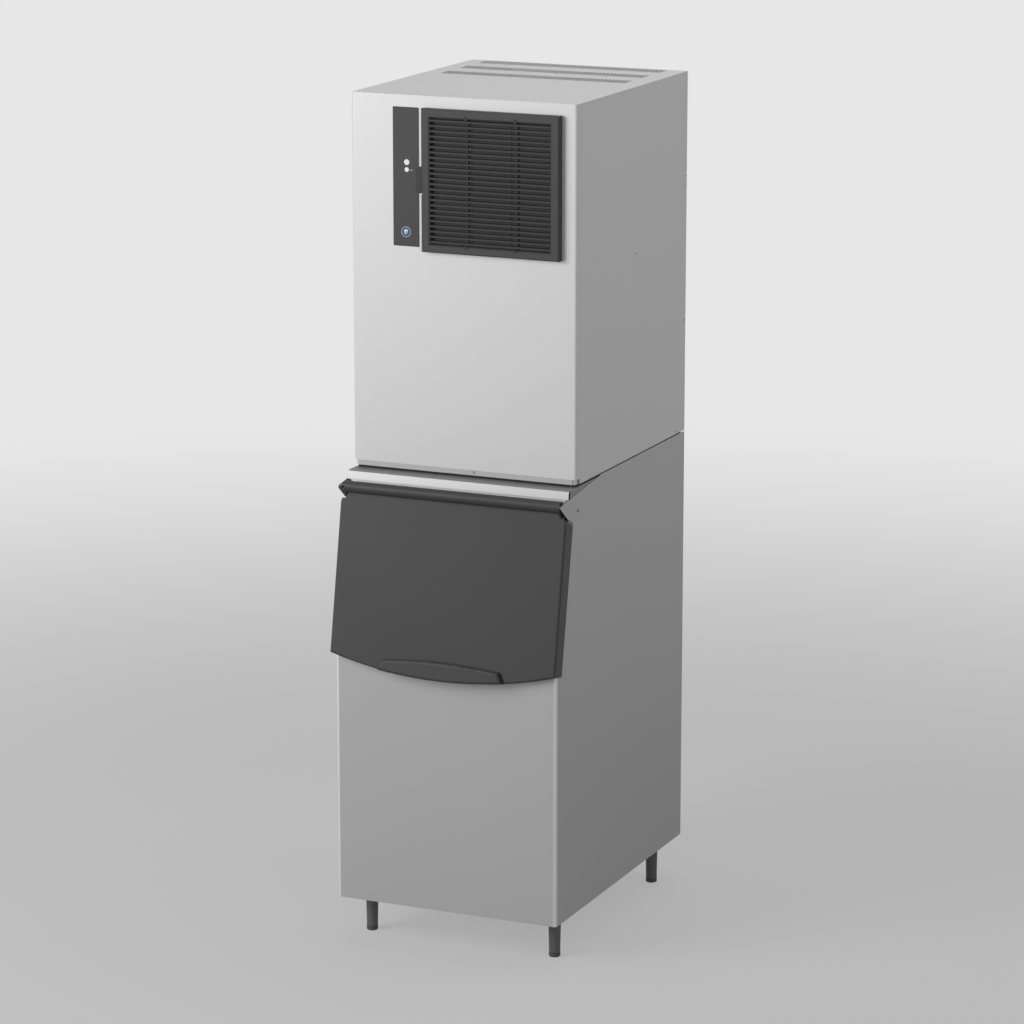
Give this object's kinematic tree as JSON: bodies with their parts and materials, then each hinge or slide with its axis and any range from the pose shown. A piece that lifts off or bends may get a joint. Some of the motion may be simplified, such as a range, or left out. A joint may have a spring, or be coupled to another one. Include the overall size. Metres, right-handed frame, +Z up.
{
  "type": "cube ice machine",
  "caption": "Modular cube ice maker on an insulated storage bin with a slanted dark flap door, a louvred air filter grille, a control strip and levelling legs.",
  "frame": {"origin": "centre of the footprint on the floor, under the levelling feet", "axes": "+Z up, -Y towards the bin's door, +X to the right seen from the front"},
  "size_m": [0.568, 0.8414, 1.994],
  "materials": {
    "case_steel": "satin, light grey",
    "bin_steel": "satin, light grey",
    "trim_steel": "brushed, bright",
    "plain_steel": "galvanised",
    "pin_steel": "turned",
    "door_plastic": "satin, dark grey",
    "grille_plastic": "matt, dark grey",
    "filter_plastic": "matt, near black",
    "strip_plastic": "matt, dark grey",
    "button_plastic": "pale",
    "lens_plastic": "dark",
    "liner_plastic": "pale, smooth",
    "foam": "rigid foam",
    "tape_foam": "soft black foam",
    "seal_rubber": "soft",
    "leg_plastic": "dark grey",
    "foot_plastic": "dark grey",
    "screw_steel": "zinc plated",
    "copper": "copper",
    "tinned_copper": "tin plated",
    "fin_aluminium": "fins",
    "black_paint": "gloss black",
    "board_green": "circuit board",
    "tray_plastic": "pale grey",
    "pan_plastic": "pale grey",
    "fan_plastic": "black",
    "brass": "turned"
  },
  "bodies": {
    "cabinet": {"bin_wrapper": "bin_steel", "bin_back_panel": "plain_steel", "bin_base": "plain_steel", "bin_insulation": "foam", "bin_liner": "liner_plastic", "bin_drain": "pan_plastic", "top_deck": "bin_steel", "front_trim": "trim_steel", "hinge_bracket_left": "black_paint", "hinge_bracket_right": "black_paint", "hinge_pins": "pin_steel", "bin_screws": "screw_steel", "leg_plates": "plain_steel", "head_base": "bin_steel", "head_tape": "tape_foam", "front_panel": "case_steel", "top_panel": "case_steel", "side_panel_left": "case_steel", "side_panel_right": "case_steel", "rear_panel": "plain_steel", "louvre_grille": "grille_plastic", "control_strip": "strip_plastic", "operation_board": "board_green", "indicator_lenses": "lens_plastic", "head_screws": "screw_steel", "cable_gland": "lens_plastic", "machine_deck": "tray_plastic", "condenser": "fin_aluminium", "fan_shroud": "fan_plastic", "fan_motor": "black_paint", "compressor": "black_paint", "compressor_mounts": "seal_rubber", "control_box": "plain_steel", "refrigerant_lines": "copper", "evaporator": "tinned_copper", "tray_bearings": "pan_plastic", "tray_motor": "plain_steel", "drain_pan": "pan_plastic", "head_drain": "pan_plastic", "water_inlet": "brass", "ice_sensor": "pin_steel", "leg_front_left": "leg_plastic", "leg_front_right": "leg_plastic", "leg_rear_left": "leg_plastic", "leg_rear_right": "leg_plastic"},
    "door": {"door_shell": "door_plastic", "door_panel": "liner_plastic", "door_seal": "seal_rubber"},
    "filter": {"air_filter": "filter_plastic"},
    "upper_button": {"button_upper": "button_plastic"},
    "lower_button": {"button_lower": "button_plastic"},
    "fan": {"fan_blade": "fan_plastic", "fan_shaft": "pin_steel"},
    "tray": {"water_tray": "tray_plastic", "tray_shaft": "pin_steel", "water_pump": "fan_plastic"},
    "foot_front_left": {"foot_front_left": "foot_plastic"},
    "foot_front_right": {"foot_front_right": "foot_plastic"},
    "foot_rear_left": {"foot_rear_left": "foot_plastic"},
    "foot_rear_right": {"foot_rear_right": "foot_plastic"}
  },
  "joints": [
    {"name": "door_hinge", "type": "hinge", "parent": "cabinet", "child": "door", "pos_m": [0, -0.33807, 1.088], "axis": [-1, 0, 0], "range_deg": [0, 175]},
    {"name": "filter_slide", "type": "slide", "parent": "cabinet", "child": "filter", "axis": [-1, 0, 0], "range_m": [0, 0.28]},
    {"name": "upper_button_press", "type": "slide", "parent": "cabinet", "child": "upper_button", "axis": [0, 1, 0], "range_m": [0, 0.0015], "stiffness_N_per_m": 300, "springref_m": -0.001},
    {"name": "lower_button_press", "type": "slide", "parent": "cabinet", "child": "lower_button", "axis": [0, 1, 0], "range_m": [0, 0.0015], "stiffness_N_per_m": 300, "springref_m": -0.001},
    {"name": "fan_spin", "type": "hinge", "parent": "cabinet", "child": "fan", "pos_m": [0.073, -0.15807, 1.794], "axis": [0, 1, 0], "continuous": true},
    {"name": "tray_tilt", "type": "hinge", "parent": "cabinet", "child": "tray", "pos_m": [0, 0.27993, 1.414], "axis": [1, 0, 0], "range_deg": [0, 30]},
    {"name": "foot_front_left_screw", "type": "slide", "parent": "cabinet", "child": "foot_front_left", "axis": [0, 0, -1], "range_m": [0, 0.02]},
    {"name": "foot_front_right_screw", "type": "slide", "parent": "cabinet", "child": "foot_front_right", "axis": [0, 0, -1], "range_m": [0, 0.02]},
    {"name": "foot_rear_left_screw", "type": "slide", "parent": "cabinet", "child": "foot_rear_left", "axis": [0, 0, -1], "range_m": [0, 0.02]},
    {"name": "foot_rear_right_screw", "type": "slide", "parent": "cabinet", "child": "foot_rear_right", "axis": [0, 0, -1], "range_m": [0, 0.02]}
  ]
}
